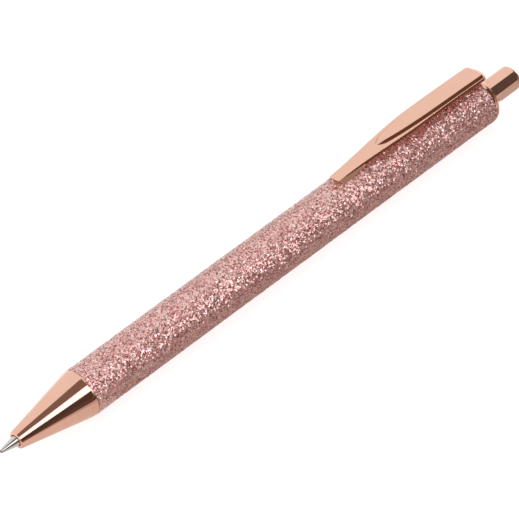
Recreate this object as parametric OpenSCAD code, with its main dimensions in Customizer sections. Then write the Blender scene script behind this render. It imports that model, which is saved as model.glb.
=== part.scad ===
// Click-action gel pen lying along X: point towards -X, button towards +X, clip on top.
// Sizes are in millimetres. The barrel rests on z = 0 and the pen is centred on x = 0.
// It is drawn with the point out and latched. Places along the pen are counted as u,
// from the front of the writing ball.

/* [Barrel] */
// Length of the glitter-covered barrel
barrel_len = 109.1; // [106:0.1:115]
// Outside diameter of the glitter wrap
barrel_d = 10.4; // [10.2:0.1:11.2]
// Thickness of the glitter wrap
wrap_t = 0.25; // [0.15:0.05:0.3]
// Wall of the brass tube under the wrap
tube_t = 0.5; // [0.4:0.05:0.55]

/* [Nose] */
// Length of the tapered part of the nose
nose_taper_len = 16.35; // [15:0.05:19]
// Length of the straight land between the taper and the barrel
nose_land_len = 0.65; // [0.4:0.05:1.2]
// How far the land lies below the wrap's surface
nose_step = 0.05; // [0.02:0.01:0.15]
// Diameter of the front rim before its edge is rounded
nose_rim_d = 3.8; // [3.7:0.1:4.4]
// Radius of the rim's rounded edge
nose_rim_r = 0.35; // [0.2:0.05:0.4]
// Distance from the rim to the spring chamber
nose_throat_len = 5.5; // [5:0.1:7]
// Diameter of the threaded spigot that goes into the barrel
spigot_d = 7.8; // [7.6:0.1:8]
// Length of the threaded spigot
spigot_len = 8; // [6:0.5:10]
// Depth of the spring chamber's mouth behind the barrel's front edge
chamber_lap = 0.2; // [0.1:0.1:0.4]
// Length of the threaded bush in the barrel
bush_len = 9; // [8:0.5:12]
// How far the bush lies behind the barrel's front edge
bush_inset = 0.5; // [0.3:0.1:1.5]

/* [End cap] */
// Length of the end cap that shows behind the barrel
cap_len = 1.85; // [1.6:0.05:2.5]
// Radius of the end cap's rounded edge
cap_edge_r = 1.8; // [1.2:0.05:1.8]
// How far the end cap lies below the wrap's surface
cap_step = 0.05; // [0.02:0.01:0.15]

/* [Clip] */
// Length of the clip from tip to rear edge
clip_len = 40.9; // [37:0.1:44]
// Thickness of the clip's sheet
clip_t = 0.7; // [0.6:0.05:0.8]
// Greatest width of the clip
clip_w = 5.9; // [5.9:0.1:7]
// Width of the clip at its tip
clip_tip_w = 2.8; // [2.2:0.1:3.5]
// Distance from the tip to the widest place
clip_wide_at = 23; // [20:0.5:28]
// Gap between the clip's tip and the barrel
clip_gap = 0.15; // [0.15:0.05:0.4]
// How far the clip's arch rises above its tip
clip_rise = 1.02; // [0.9:0.01:1.4]
// Distance from the tip to the top of the arch
clip_top_at = 26.5; // [24:0.5:29]
// Radius of the rounded rear edge, seen from above
clip_rear_r = 7; // [6:0.1:9]
// Distance from the clip's rear edge to the end cap's rear face
clip_inset = 0.35; // [0.3:0.05:0.5]
// Distance from the tip to the nose of the raised panel
panel_from = 12; // [11:0.1:13]
// Distance from the clip's rear edge to the raised panel's end
panel_end = 0.6; // [0.6:0.1:2]
// Width of the raised panel's top
panel_w = 4.6; // [4.2:0.1:4.6]
// Height of the raised panel above the sheet
panel_h = 0.54; // [0.46:0.02:0.56]
// Length over which the panel's sides widen, from the point where they would meet
panel_nose = 24; // [20:0.5:26]
// Distance from the point where the panel's sides would meet to its nose
panel_lead = 2; // [1:0.1:3]
// Length of the rounded nose, seen from above
panel_blunt = 1.8; // [1:0.1:3]
// Length over which the panel's nose rises
panel_ramp = 2.4; // [1.5:0.1:6]
// Length over which the panel's rear end fades
panel_fade = 1; // [0.8:0.1:3]
// Width of the tab that hooks into the end cap
tab_w = 2.4; // [2:0.1:2.8]
// Depth to which the tab reaches below the end cap's surface
tab_depth = 0.75; // [0.6:0.05:0.9]
// Distance from the tab's rear face to the clip's rear edge
tab_inset = 0.63; // [0.6:0.01:0.65]
// Clearance all round the tab in its slot
tab_gap = 0.12; // [0.1:0.01:0.15]

/* [Button] */
// Diameter of the button
button_d = 5.5; // [5.2:0.1:5.7]
// Length of the button that shows with the point out
button_out = 8.15; // [7:0.05:10]
// Radius of the button's rounded end
button_end_r = 1.2; // [0.8:0.1:1.5]
// Wall of the button's metal cap
button_wall = 0.4; // [0.3:0.05:0.5]
// Thickness of the button's closed end
button_end_t = 1.5; // [1.5:0.1:2.5]
// Running clearance of the button in the end cap
button_gap = 0.08; // [0.05:0.01:0.1]

/* [Click mechanism] */
// Travel of the point between out and in
click_travel = 5; // [4.5:0.1:5.5]
// Wall of the cam housing
cam_wall = 0.75; // [0.7:0.05:0.8]
// Length of plain bore in front of the cam ribs
cam_front_len = 9; // [7:0.5:12]
// Width of a cam rib, in degrees
rib_deg = 24; // [22:1:26]
// Clearance between the ribs and the button
rib_gap = 0.3; // [0.3:0.05:0.4]
// Width of a rotor fin, in degrees
fin_deg = 18; // [16:1:20]
// Length of a rotor fin along its middle
fin_len = 2.8; // [2.4:0.1:4]
// Running clearance of the fins in the housing
fin_gap = 0.08; // [0.05:0.01:0.1]
// Thickness of the rotor's pushing disc
rotor_disc_t = 0.9; // [0.6:0.1:1.5]
// Clearance between the rotor's core and the ribs
rotor_core_gap = 0.45; // [0.3:0.05:0.5]
// Axial play between the rotor fins and the ribs
cam_gap = 0.2; // [0.2:0.05:0.3]
// Diameter of the rotor's spindle
spindle_d = 2.3; // [2:0.1:2.4]
// Length of the spindle behind the fins
spindle_len = 10; // [8:0.5:12]
// Running clearance of the spindle in the button's stem
spindle_gap = 0.06; // [0.04:0.01:0.1]
// Clearance behind the spindle's end
spindle_end_gap = 0.8; // [0.5:0.1:2]
// Length of the stem's guide fins
guide_len = 3.5; // [3:0.1:5]
// Width of a guide fin, in degrees
guide_deg = 50; // [40:1:54]
// Slant of the guide fins' front faces, in degrees
guide_slant = 30; // [20:1:35]
// Clearance between the guide fins and the rotor
crown_gap = 0.15; // [0.1:0.05:0.3]
// Play left at the end of the button's travel
stop_gap = 0.2; // [0.1:0.05:0.3]
// Distance from the guide fins to the front of the metal cap
cap_lead = 1; // [0.5:0.1:2]

/* [Return spring] */
// Diameter of the spring's wire
spring_wire_d = 0.35; // [0.3:0.05:0.4]
// Turns of the spring
spring_turns = 9; // [7:1:11]
// Clearance inside and outside the spring
spring_gap = 0.3; // [0.3:0.05:0.4]
// Gap between the spring's end turns and what they bear on
spring_seat_gap = 0.05; // [0.02:0.01:0.1]

/* [Refill] */
// Length of the refill from writing ball to end plug
refill_len = 111; // [109:0.1:113]
// How far the point stands out of the nose
point_out = 4; // [3.5:0.1:4.5]
// Diameter of the writing ball
ball_d = 0.7; // [0.6:0.1:1]
// Running clearance of the ball in its socket
ball_gap = 0.01; // [0.01:0.005:0.02]
// How far the ball stands out of its lip
ball_out = 0.22; // [0.2:0.01:0.24]
// Thickness of the lip round the ball
lip_t = 0.08; // [0.06:0.01:0.12]
// Length of the point's cone
point_cone_len = 4; // [3.5:0.1:5]
// Diameter of the point behind its cone
point_d = 2.3; // [2.2:0.1:2.4]
// Length of the point in front of the connector
point_len = 8; // [7.5:0.1:9]
// Clearance of the point in the nose
point_gap = 0.15; // [0.1:0.05:0.3]
// Diameter of the point's shank
shank_d = 1.5; // [1.4:0.1:1.6]
// Length of the point's shank
shank_len = 4; // [3:0.5:5]
// Diameter of the ink channel behind the ball
channel_d = 0.5; // [0.4:0.05:0.55]
// Length of the point in front of its wide bore
channel_len = 3; // [2.6:0.1:3.4]
// Diameter of the wide bore that holds the point spring
point_bore_d = 1; // [0.9:0.05:1.05]
// Diameter of the point spring's wire
point_wire_d = 0.12; // [0.1:0.01:0.14]
// Outside diameter of the point spring
point_spring_d = 0.75; // [0.7:0.05:0.8]
// Turns of the point spring
point_spring_turns = 12; // [10:1:13]
// Gap between the point spring and the writing ball
point_spring_gap = 0.03; // [0.02:0.01:0.06]
// Diameter of the connector's neck inside the return spring
neck_d = 2.8; // [2.6:0.1:3]
// Clearance of the neck in the nose's throat
neck_gap = 0.2; // [0.1:0.05:0.25]
// Room for the neck in front of it, behind the nose's hole
neck_room = 2; // [1.6:0.1:2.4]
// Length of the connector's neck
neck_len = 14.6; // [14.4:0.1:17]
// Thickness of the connector's flange
flange_t = 1.4; // [1:0.1:2]
// Length of the connector inside the ink tube
connector_plug_len = 6; // [5.5:0.5:8]
// Diameter of the connector's ink passage
passage_d = 1.2; // [1:0.1:1.4]
// Diameter of the check ball
check_ball_d = 1.6; // [1.5:0.1:1.8]
// Clearance round the check ball
check_gap = 0.3; // [0.2:0.05:0.4]
// Length of the check ball's chamber
check_room = 3; // [2.5:0.1:3.5]
// Outside diameter of the ink tube
ink_tube_d = 6; // [5.8:0.1:6.2]
// Wall of the ink tube
ink_tube_t = 0.5; // [0.4:0.05:0.6]
// Clearance of the ink tube in the nose
ink_tube_gap = 0.3; // [0.3:0.05:0.35]
// Length of the ink column
ink_len = 42; // [20:1:60]
// Length of the clear follower behind the ink
follower_len = 6; // [4:0.5:10]
// Thickness of the end plug's rim
plug_rim_t = 1.5; // [1:0.1:2]
// Length of the end plug inside the ink tube
plug_len = 5; // [3:0.5:7]
// Diameter of the end plug's vent
vent_d = 0.8; // [0.6:0.1:1.2]

/* [Fits] */
// Clearance of pressed and glued pieces, on the radius
seat_gap = 0.02; // [0.01:0.005:0.03]
// Clearance of the nose's thread, on the radius
thread_gap = 0.05; // [0.03:0.01:0.1]
// Gap between flat faces of pieces that only touch
face_gap = 0.05; // [0.02:0.01:0.1]

/* [Hidden] */
$fn = 96;
// Extra length of a cutting body past the face that it cuts
over = 1;
// Cam ribs, rotor fins and guide fins
cam_count = 4;
// Steepness of the rib ends over that of the rotor's path, so that the fins keep clear
cam_ease = 1.02;
// Depth of a slanted cutting body, as a multiple of its reach to each side
slant_depth = 10;
// Sides of the springs' wire, and places along one turn of it
wire_sides = 6;
spring_steps = 12;
point_spring_steps = 8;

// Places along the pen
rim_u = point_out;
taper_end_u = rim_u + nose_taper_len;
barrel_u = taper_end_u + nose_land_len;
cap_u = barrel_u + barrel_len;

// Radii of the fixed pieces
barrel_r = barrel_d / 2;
tube_r = barrel_r - wrap_t;
tube_bore_r = tube_r - tube_t;
seat_r = tube_bore_r - seat_gap;
nose_r = barrel_r - nose_step;
cap_r = barrel_r - cap_step;
spigot_r = spigot_d / 2;
nose_hole_r = point_d / 2 + point_gap;
nose_slope = (nose_r - nose_rim_d / 2) / nose_taper_len;

// Refill
ink_tube_r = ink_tube_d / 2;
ink_bore_r = ink_tube_r - ink_tube_t;
nose_bore_r = ink_tube_r + ink_tube_gap;
flange_u = point_len + neck_len;
ink_tube_u = flange_u + flange_t;
connector_end_u = ink_tube_u + connector_plug_len;
ink_tube_end_u = refill_len - plug_rim_t;
ink_u = connector_end_u + face_gap;
follower_u = ink_u + ink_len;
check_r = check_ball_d / 2 + check_gap;

// Return spring
spring_r = neck_d / 2 + spring_gap + spring_wire_d / 2;
chamber_r = spring_r + spring_wire_d / 2 + spring_gap;
throat_r = neck_d / 2 + neck_gap;
throat_u = point_len - neck_room;
chamber_u = rim_u + nose_throat_len;
chamber_end_u = barrel_u + chamber_lap;
spring_from = chamber_u + spring_seat_gap + spring_wire_d / 2;
spring_to = flange_u - spring_seat_gap - spring_wire_d / 2;

// Click mechanism
button_r = button_d / 2;
stem_r = button_r - button_wall - seat_gap;
cam_bore_r = seat_r - cam_wall;
rib_r = button_r + rib_gap;
fin_r = cam_bore_r - fin_gap;
core_r = rib_r - rotor_core_gap;
// Turn of the rotor over the full travel, half way from rib to rib
click_deg = 180 / cam_count;
cam_steep = cam_ease * click_travel * 180 / (click_deg * PI * rib_r);
rotor_u = refill_len + face_gap;
fin_u = rotor_u + rotor_disc_t;
fin_mid_u = fin_u + fin_len;
rib_mid_u = fin_mid_u + cam_gap;
crown_u = fin_mid_u + cam_steep * fin_r * sin(fin_deg / 2) + crown_gap;
guide_end_u = crown_u + guide_len;
cam_end_u = guide_end_u + click_travel + stop_gap;
// The end cap covers the part of the mechanism that a short barrel leaves bare
end_u = max(cap_u, cam_end_u) + cap_len;
top_u = end_u + button_out;
cam_front_u = rib_mid_u - cam_steep * cam_bore_r * sin(rib_deg / 2) - cam_front_len;
spindle_end_u = fin_mid_u + spindle_len;
button_cap_u = guide_end_u + cap_lead;
stem_end_u = top_u - button_end_t - face_gap;

// Clip
clip_rear_u = end_u - clip_inset;
clip_u = clip_rear_u - clip_len;
clip_tip_h = barrel_r + clip_gap + clip_t;
clip_top_h = clip_tip_h + clip_rise;
clip_arc_r = (pow(clip_top_at, 2) + pow(clip_rise, 2)) / (2 * clip_rise);
clip_narrow = (clip_w - clip_tip_w) / 2;
panel_len = clip_len - panel_end - panel_from;
// Sections of the raised panel, points along each side of the clip's outline and along its arch
panel_steps = 40;
plan_steps = 32;
arch_steps = 48;
// How fast the panel widens behind its nose, and how far its sections draw together there
panel_swell = 3;
panel_crowd = 2;
// Distance of the panel's first section from its nose, in sections
panel_first = 0.2;
// Depth to which the panel is rooted in the sheet
panel_root = clip_t / 10;
tab_end_u = clip_rear_u - tab_inset;
tab_u = tab_end_u - clip_t;
tab_foot_r = cap_r - tab_depth;

// Frame
axis_z = barrel_r;
front_x = -top_u / 2;

// Lays a piece along the pen: local z becomes u, local x points up to the clip.
module axial() {
    translate([front_x, 0, axis_z])
        rotate([0, 90, 0])
            rotate([0, 0, 180])
                children();
}

// A straight round piece from u0 to u1.
module rod(r, u0, u1) {
    translate([0, 0, u0])
        cylinder(r = r, h = u1 - u0);
}

// A round piece with a round bore from u0 to u1.
module pipe(r, bore, u0, u1) {
    difference() {
        rod(r, u0, u1);
        rod(bore, u0 - over, u1 + over);
    }
}

// A pie slice of a round piece, deg wide about local x.
module slice(r, deg, u0, u1) {
    reach = r / cos(deg / 2) + over;
    intersection() {
        rod(r, u0, u1);
        translate([0, 0, u0 - over])
            linear_extrude(u1 - u0 + 2 * over)
                polygon([[0, 0],
                    [reach * cos(deg / 2), -reach * sin(deg / 2)],
                    [reach * cos(deg / 2), reach * sin(deg / 2)]]);
    }
}

// All that lies in front of a plane through u that climbs to the rear with y.
module before_slant(u, steep, reach) {
    rotate([90, 0, 90])
        linear_extrude(reach)
            polygon([[-reach, u - slant_depth * reach], [reach, u - slant_depth * reach],
                [reach, u + steep * reach], [-reach, u - steep * reach]]);
}

module around() {
    for (i = [0:cam_count - 1])
        rotate([0, 0, i * 360 / cam_count])
            children();
}

function unit(v) = v / norm(v);

// Directions along a path, from each point's neighbours.
function along(path) = [for (i = [0:len(path) - 1])
    unit(path[min(i + 1, len(path) - 1)] - path[max(i - 1, 0)])];

// A ring of points about p, square to t, that starts on the side of ref.
function ring(p, t, ref, r) = let (n = unit(ref - (ref * t) * t), b = cross(t, n))
    [for (j = [0:wire_sides - 1]) let (a = 360 * j / wire_sides) p + r * (cos(a) * n + sin(a) * b)];

// Triangles that close a stack of rings with k points each.
function skin(rings, k) = concat(
    [for (j = [1:k - 2]) [0, j, j + 1]],
    [for (i = [0:rings - 2], j = [0:k - 1]) [k * i + j, k * i + k + j, k * i + k + (j + 1) % k]],
    [for (i = [0:rings - 2], j = [0:k - 1]) [k * i + j, k * i + k + (j + 1) % k, k * i + (j + 1) % k]],
    [for (j = [1:k - 2]) let (e = k * (rings - 1)) [e, e + j + 1, e + j]]);

// One unbroken wire along a path.
module wire(path, refs, r) {
    t = along(path);
    polyhedron([for (i = [0:len(path) - 1]) each ring(path[i], t[i], refs[i], r)],
        skin(len(path), wire_sides));
}

// Least clear distance between places on a path that are half a turn or more apart.
function least_gap(path, skip, d) = min([for (i = [0:len(path) - 1 - skip],
    k = [i + skip:len(path) - 1]) norm(path[k] - path[i])]) - d;

module nose_cone() {
    round_u = rim_u + nose_rim_r;
    lean = sqrt(1 + pow(nose_slope, 2));
    round_r = nose_rim_d / 2 + nose_slope * nose_rim_r - nose_rim_r * lean;
    color([0.9, 0.66, 0.55])
        axial()
            rotate_extrude()
                difference() {
                    union() {
                        polygon([[0, rim_u], [round_r, rim_u],
                            [round_r + nose_rim_r / lean, round_u - nose_rim_r * nose_slope / lean],
                            [nose_r, taper_end_u], [nose_r, barrel_u], [spigot_r, barrel_u],
                            [spigot_r, barrel_u + spigot_len], [0, barrel_u + spigot_len]]);
                        translate([round_r, round_u])
                            circle(nose_rim_r);
                    }
                    translate([-over, rim_u - over])
                        square([nose_hole_r + over, throat_u - rim_u + 2 * over]);
                    translate([-over, throat_u])
                        square([throat_r + over, chamber_u - throat_u + over]);
                    translate([-over, chamber_u])
                        square([chamber_r + over, chamber_end_u - chamber_u + over]);
                    translate([-over, chamber_end_u])
                        square([nose_bore_r + over, spigot_len + over]);
                }
}

module front_bush() {
    color([0.85, 0.72, 0.4])
        axial()
            pipe(seat_r, spigot_r + thread_gap, barrel_u + bush_inset,
                barrel_u + bush_inset + bush_len);
}

module barrel_tube() {
    color([0.83, 0.7, 0.45])
        axial()
            pipe(tube_r, tube_bore_r, barrel_u, cap_u);
}

module glitter_wrap() {
    color([0.82, 0.56, 0.56])
        axial()
            pipe(barrel_r, tube_r, barrel_u, cap_u);
}

module end_cap() {
    edge_r = min(cap_edge_r, cap_len);
    shell_len = end_u - cap_u;
    color([0.9, 0.66, 0.55])
        axial()
            difference() {
                rotate_extrude()
                    difference() {
                        union() {
                            if (cam_end_u < cap_u)
                                translate([0, cam_end_u])
                                    square([seat_r, cap_u - cam_end_u]);
                            translate([0, cap_u])
                                square([cap_r, shell_len - edge_r]);
                            translate([0, cap_u])
                                square([cap_r - edge_r, shell_len]);
                            intersection() {
                                translate([cap_r - edge_r, end_u - edge_r])
                                    circle(edge_r);
                                translate([0, end_u - edge_r])
                                    square([cap_r, edge_r]);
                            }
                        }
                        translate([-over, cam_end_u - over])
                            square([button_r + button_gap + over, end_u - cam_end_u + 2 * over]);
                        if (cam_end_u > cap_u)
                            translate([-over, cap_u - over])
                                square([tube_bore_r + over, cam_end_u - cap_u + over]);
                    }
                translate([tab_foot_r - tab_gap, -tab_w / 2 - tab_gap, cap_u - over])
                    cube([barrel_r, tab_w + 2 * tab_gap, tab_end_u + tab_gap - cap_u + over]);
            }
}

// Height of the clip's upper face above the pen's axis, at a distance from its tip.
function clip_h(s) = clip_top_h - clip_arc_r
    + sqrt(pow(clip_arc_r, 2) - pow(s - clip_top_at, 2));

// Half width of the raised panel's top, at a distance from its nose.
function panel_half(s) = panel_w / 2
    * (1 - pow(1 - min(1, (s + panel_lead) / panel_nose), panel_swell))
    * sqrt(1 - pow(1 - min(1, s / panel_blunt), 2));

// Height of the raised panel, at a distance from its nose.
function panel_lift(s) = panel_h
    * min(1 - pow(1 - min(1, s / panel_ramp), 2), (panel_len - s) / panel_fade);

// Half width of the clip, at a distance from its tip.
function clip_half(s) = clip_w / 2 - clip_narrow * (1 + cos(180 * min(1, s / clip_wide_at))) / 2;

// The clip's outline seen from above: tip at 0, along the clip and across it.
module clip_plan() {
    side = [for (i = [0:plan_steps]) let (s = clip_wide_at * i / plan_steps) [s, clip_half(s)]];
    intersection() {
        polygon(concat([for (p = side) [p[0], -p[1]]],
            [[clip_len, -clip_w / 2], [clip_len, clip_w / 2]],
            [for (i = [plan_steps:-1:0]) side[i]]));
        union() {
            translate([0, -clip_w])
                square([clip_len - clip_rear_r, 2 * clip_w]);
            translate([clip_len - clip_rear_r, 0])
                circle(clip_rear_r);
        }
    }
}

// The sheet from the side: an arch of even thickness, a little longer than the clip.
module clip_arch() {
    turns = [for (i = [0:arch_steps])
        asin(((clip_len + 2 * over) * i / arch_steps - over - clip_top_at) / clip_arc_r)];
    polygon(concat([for (a = turns) clip_arc_r * [cos(a), sin(a)]],
        [for (i = [arch_steps:-1:0]) (clip_arc_r - clip_t) * [cos(turns[i]), sin(turns[i])]]));
}

module clip_sheet() {
    intersection() {
        translate([clip_top_h - clip_arc_r, 0, clip_u + clip_top_at])
            rotate([90, 0, 0])
                linear_extrude(2 * clip_w, center = true)
                    clip_arch();
        translate([0, 0, clip_u])
            rotate([0, -90, 0])
                translate([0, 0, -2 * clip_top_h])
                    linear_extrude(2 * clip_top_h)
                        clip_plan();
    }
}

// The raised panel: narrow and rounded in front, with slanting sides, rooted in the sheet.
// Its sections lie closer together near the nose.
module clip_panel() {
    steps = [for (i = [0:panel_steps])
        panel_len * pow((i + panel_first) / (panel_steps + 2 * panel_first), panel_crowd)];
    polyhedron(
        [for (s = steps) let (h = clip_h(panel_from + s), w = panel_half(s), e = panel_lift(s),
            u = clip_u + panel_from + s, base = w + e + panel_root)
            each [[h - panel_root, -base, u], [h + e, -w, u], [h + e, w, u], [h - panel_root, base, u]]],
        skin(panel_steps + 1, 4));
}

module clip() {
    color([0.93, 0.7, 0.58])
        axial() {
            clip_sheet();
            clip_panel();
            translate([tab_foot_r, -tab_w / 2, tab_u])
                cube([clip_h(clip_len) - clip_t / 2 - tab_foot_r, tab_w, clip_t]);
        }
}

module cam_housing() {
    color([0.92, 0.92, 0.9])
        axial() {
            pipe(seat_r, cam_bore_r, cam_front_u, cam_end_u);
            around()
                difference() {
                    slice(cam_bore_r + cam_wall / 2, rib_deg, cam_front_u, cam_end_u);
                    rod(rib_r, cam_front_u - over, cam_end_u + over);
                    before_slant(rib_mid_u, cam_steep, barrel_d);
                }
        }
}

module rotor() {
    color([0.2, 0.35, 0.6])
        axial() {
            rod(core_r, rotor_u, fin_mid_u);
            rod(spindle_d / 2, rotor_u, spindle_end_u);
            around()
                intersection() {
                    slice(fin_r, fin_deg, fin_u, rib_mid_u + fin_len);
                    before_slant(fin_mid_u, cam_steep, barrel_d);
                }
        }
}

module button_stem() {
    slant = tan(guide_slant);
    color([0.88, 0.88, 0.86])
        axial()
            difference() {
                union() {
                    rod(stem_r, crown_u, stem_end_u);
                    rotate([0, 0, click_deg])
                        around()
                            difference() {
                                slice(fin_r, guide_deg, crown_u, guide_end_u);
                                before_slant(crown_u + slant * fin_r * sin(guide_deg / 2), slant,
                                    barrel_d);
                            }
                }
                rod(spindle_d / 2 + spindle_gap, crown_u - over, spindle_end_u + spindle_end_gap);
            }
}

module button_cap() {
    color([0.9, 0.66, 0.55])
        axial()
            difference() {
                rotate_extrude()
                    union() {
                        translate([0, button_cap_u])
                            square([button_r, top_u - button_end_r - button_cap_u]);
                        translate([0, button_cap_u])
                            square([button_r - button_end_r, top_u - button_cap_u]);
                        translate([button_r - button_end_r, top_u - button_end_r])
                            circle(button_end_r);
                    }
                rod(button_r - button_wall, button_cap_u - over, top_u - button_end_t);
            }
}

module return_spring() {
    n = spring_steps * spring_turns;
    turn = [for (i = [0:n]) 360 * i / spring_steps];
    path = [for (i = [0:n]) [spring_r * cos(turn[i]), spring_r * sin(turn[i]),
        spring_from + (spring_to - spring_from) * i / n]];
    echo(return_spring_least_gap = least_gap(path, spring_steps / 2, spring_wire_d));
    color([0.75, 0.76, 0.78])
        axial()
            wire(path, [for (a = turn) [cos(a), sin(a), 0]], spring_wire_d / 2);
}

module ink_tube() {
    color([0.9, 0.92, 0.94, 0.5])
        axial()
            pipe(ink_tube_r, ink_bore_r, ink_tube_u, ink_tube_end_u);
}

module refill_connector() {
    plug_r = ink_bore_r - seat_gap;
    check_end_u = connector_end_u - check_room;
    color([0.93, 0.93, 0.9])
        axial()
            difference() {
                union() {
                    rod(neck_d / 2, point_len, ink_tube_u);
                    rod(ink_tube_r, flange_u, ink_tube_u);
                    rod(plug_r, flange_u, connector_end_u);
                }
                rod(shank_d / 2 + seat_gap, point_len - over, point_len + shank_len);
                rod(passage_d / 2, point_len, connector_end_u + over);
                rod(check_r, check_end_u, connector_end_u + over);
            }
}

module refill_point() {
    lip_r = sqrt(pow(ball_d / 2 + ball_gap, 2) - pow(ball_d / 2 - ball_out, 2));
    color([0.8, 0.8, 0.78])
        axial()
            difference() {
                rotate_extrude()
                    polygon([[0, ball_out], [lip_r + lip_t, ball_out],
                        [point_d / 2, point_cone_len], [point_d / 2, point_len],
                        [shank_d / 2, point_len], [shank_d / 2, point_len + shank_len],
                        [0, point_len + shank_len]]);
                translate([0, 0, ball_d / 2])
                    sphere(r = ball_d / 2 + ball_gap);
                rod(channel_d / 2, ball_d / 2, channel_len + over);
                rod(point_bore_d / 2, channel_len, point_len + shank_len + over);
            }
}

// A straight needle behind the ball that opens out into a coil.
module point_spring() {
    coil_r = (point_spring_d - point_wire_d) / 2;
    coil_to = point_len + shank_len - point_wire_d;
    n = point_spring_steps * point_spring_turns;
    turn = concat([0, 0], [for (i = [0:n]) 360 * i / point_spring_steps]);
    needle_from = ball_d + point_spring_gap;
    coil = [for (i = [0:n]) let (r = coil_r * min(1, i / point_spring_steps), a = turn[i + 2])
        [r * cos(a), r * sin(a), channel_len + point_wire_d + (coil_to - channel_len) * i / n]];
    path = concat([[0, 0, needle_from], [0, 0, channel_len - point_wire_d]], coil);
    color([0.7, 0.71, 0.73])
        axial()
            wire(path, [for (a = turn) [cos(a), sin(a), 0]], point_wire_d / 2);
}

module writing_ball() {
    color([0.55, 0.55, 0.56])
        axial()
            translate([0, 0, ball_d / 2])
                sphere(d = ball_d);
}

module check_ball() {
    color([0.7, 0.7, 0.72])
        axial()
            translate([0, 0, connector_end_u - check_room + check_ball_d / 2 + face_gap])
                sphere(d = check_ball_d);
}

module gel_ink() {
    color([0.08, 0.08, 0.1])
        axial()
            rod(ink_bore_r - seat_gap, ink_u, follower_u);
}

module ink_follower() {
    color([0.9, 0.88, 0.7])
        axial()
            rod(ink_bore_r - seat_gap, follower_u + face_gap, follower_u + follower_len);
}

module end_plug() {
    color([0.85, 0.86, 0.88])
        axial()
            difference() {
                union() {
                    rod(ink_tube_r, ink_tube_end_u, refill_len);
                    rod(ink_bore_r - seat_gap, ink_tube_end_u - plug_len, refill_len);
                }
                rod(vent_d / 2, ink_tube_end_u - plug_len - over, refill_len + over);
            }
}

nose_cone();
front_bush();
barrel_tube();
glitter_wrap();
end_cap();
clip();
cam_housing();
rotor();
button_stem();
button_cap();
return_spring();
ink_tube();
refill_connector();
refill_point();
point_spring();
writing_ball();
check_ball();
gel_ink();
ink_follower();
end_plug();
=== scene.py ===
"""Looks of a click-action gel pen: rose-gold plated fittings on a barrel wrapped in pink glitter film.

Places along the pen are counted in millimetres as u, from the front of the writing ball, and radii from
the pen's axis. The pen lies along X with its point towards -X and its clip on top.
"""

import logging
import math
from dataclasses import dataclass
from enum import Enum

import bmesh
import bpy
import numpy as np
from mathutils import Matrix, Vector


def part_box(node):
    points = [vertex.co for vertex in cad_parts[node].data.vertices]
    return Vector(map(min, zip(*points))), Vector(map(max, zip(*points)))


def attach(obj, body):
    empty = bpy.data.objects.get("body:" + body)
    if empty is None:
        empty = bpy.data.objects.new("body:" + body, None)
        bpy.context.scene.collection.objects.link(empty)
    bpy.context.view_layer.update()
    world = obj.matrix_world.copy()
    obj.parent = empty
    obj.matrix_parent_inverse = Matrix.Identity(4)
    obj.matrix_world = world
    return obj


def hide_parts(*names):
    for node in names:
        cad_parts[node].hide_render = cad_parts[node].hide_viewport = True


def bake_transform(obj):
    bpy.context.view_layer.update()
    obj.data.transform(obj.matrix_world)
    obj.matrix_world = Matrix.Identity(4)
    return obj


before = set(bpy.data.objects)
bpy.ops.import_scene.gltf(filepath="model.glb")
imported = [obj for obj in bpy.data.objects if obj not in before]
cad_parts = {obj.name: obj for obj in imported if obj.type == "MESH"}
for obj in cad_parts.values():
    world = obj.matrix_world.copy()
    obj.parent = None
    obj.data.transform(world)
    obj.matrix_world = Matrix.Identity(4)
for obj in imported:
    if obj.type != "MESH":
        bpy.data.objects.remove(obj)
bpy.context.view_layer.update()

log = logging.getLogger("gel_pen")
logging.basicConfig(level=logging.INFO, format="%(name)s: %(message)s")

# A millimetre in metres.
MM = 0.001
# The pen's front end along X and its axis above the table, in millimetres.
FRONT_X = -70.05
AXIS_Z = 5.2
# Width of the picture in pixels.
IMAGE_PX = 519
# A radius in millimetres below which a point of a profile lies on the axis.
ON_AXIS = 1e-9
# Edges of turned pieces and of blocks that are sharper than this stay sharp.
TURNED_SHARP_DEG = 32
BLOCK_SHARP_DEG = 30
# Steps in one turn of a coil, and the pitch of its closed end turns in wire radii.
COIL_STEPS = 36
CLOSED_PITCH = 2.2

Point = tuple[float, float, float]
Profile = list[tuple[float, float]]
Colour = tuple[float, float, float, float]


class Body(Enum):
    """The CAD bodies that pieces ride on."""

    BARREL = "barrel"
    NOSE = "nose"
    CLIP = "clip"
    BUTTON = "button"
    REFILL = "refill"


class Slot(Enum):
    """The record's material slots."""

    PLATE = "rose_gold_plate"
    GLITTER = "glitter_film"
    SPRING = "spring_steel"
    POINT = "nickel_silver"
    PLASTIC = "acetal_white"


# Small tools


def linear(code: str) -> Colour:
    """Turns an sRGB hex colour into linear values.

    Args:
        code: Six hex digits.

    Returns:
        Red, green, blue and an alpha of 1.
    """
    parts = [int(code[i:i + 2], 16) / 255 for i in (0, 2, 4)]
    low = [p / 12.92 if p <= 0.04045 else ((p + 0.055) / 1.055) ** 2.4 for p in parts]
    return (low[0], low[1], low[2], 1.0)


def add(tree: bpy.types.NodeTree, kind: str, inputs: dict[str | int, object] | None = None,
        **settings: object) -> bpy.types.Node:
    """Adds a node with its settings, values and links.

    Args:
        tree: The tree that gets the node.
        kind: Blender's name of the node's type.
        inputs: Value or linked socket for each input, by name or number.
        **settings: Properties of the node.

    Returns:
        The new node.
    """
    node = tree.nodes.new(kind)
    for name, value in settings.items():
        setattr(node, name, value)
    for key, value in (inputs or {}).items():
        if isinstance(value, bpy.types.NodeSocket):
            tree.links.new(value, node.inputs[key])
        else:
            node.inputs[key].default_value = value
    return node


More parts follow.
